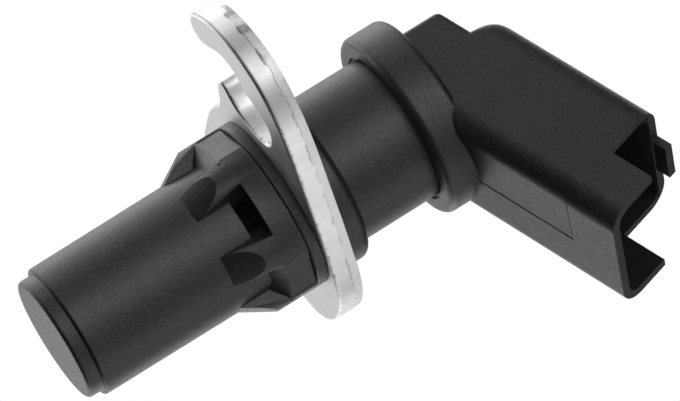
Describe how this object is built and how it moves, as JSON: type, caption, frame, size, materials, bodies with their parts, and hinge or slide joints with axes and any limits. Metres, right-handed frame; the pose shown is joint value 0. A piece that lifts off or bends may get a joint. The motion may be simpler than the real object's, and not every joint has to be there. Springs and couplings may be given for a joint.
{
  "type": "crankshaft position sensor",
  "caption": "Black plastic speed sensor with a round sensing nose, an angled plug shroud and a stamped steel bracket with a hooked bolt slot.",
  "frame": {"origin": "centre of the sensing face at the nose's tip", "axes": "+X along the body axis from the sensing face to the collar, +Z to the side that the plug shroud bends to, +Y across"},
  "size_m": [0.0744, 0.0521, 0.0534],
  "materials": {
    "black_nylon": "satin moulded black nylon with fine grain",
    "glass_filled_nylon": "satin glass-filled black nylon",
    "zinc_plated_steel": "bright zinc plating over stamped steel",
    "soft_iron": "plain turned soft iron",
    "sintered_magnet": "dark sintered magnet",
    "natural_nylon": "uncoloured nylon",
    "enamelled_copper": "enamelled copper wire",
    "winding_tape": "yellow winding tape",
    "potting_resin": "dark cast resin",
    "tinned_brass": "tinned brass",
    "seal_rubber": "matt black seal rubber"
  },
  "bodies": {
    "root": {"nose_housing": "black_nylon", "rear_housing": "glass_filled_nylon", "mounting_bracket": "zinc_plated_steel", "pole_piece": "soft_iron", "magnet": "sintered_magnet", "coil_bobbin": "natural_nylon", "coil_winding": "enamelled_copper", "winding_tape": "winding_tape", "potting_resin": "potting_resin", "coil_lead_1": "enamelled_copper", "coil_lead_2": "enamelled_copper", "terminal_1": "tinned_brass", "terminal_2": "tinned_brass", "spigot_seal": "seal_rubber"}
  },
  "joints": []
}
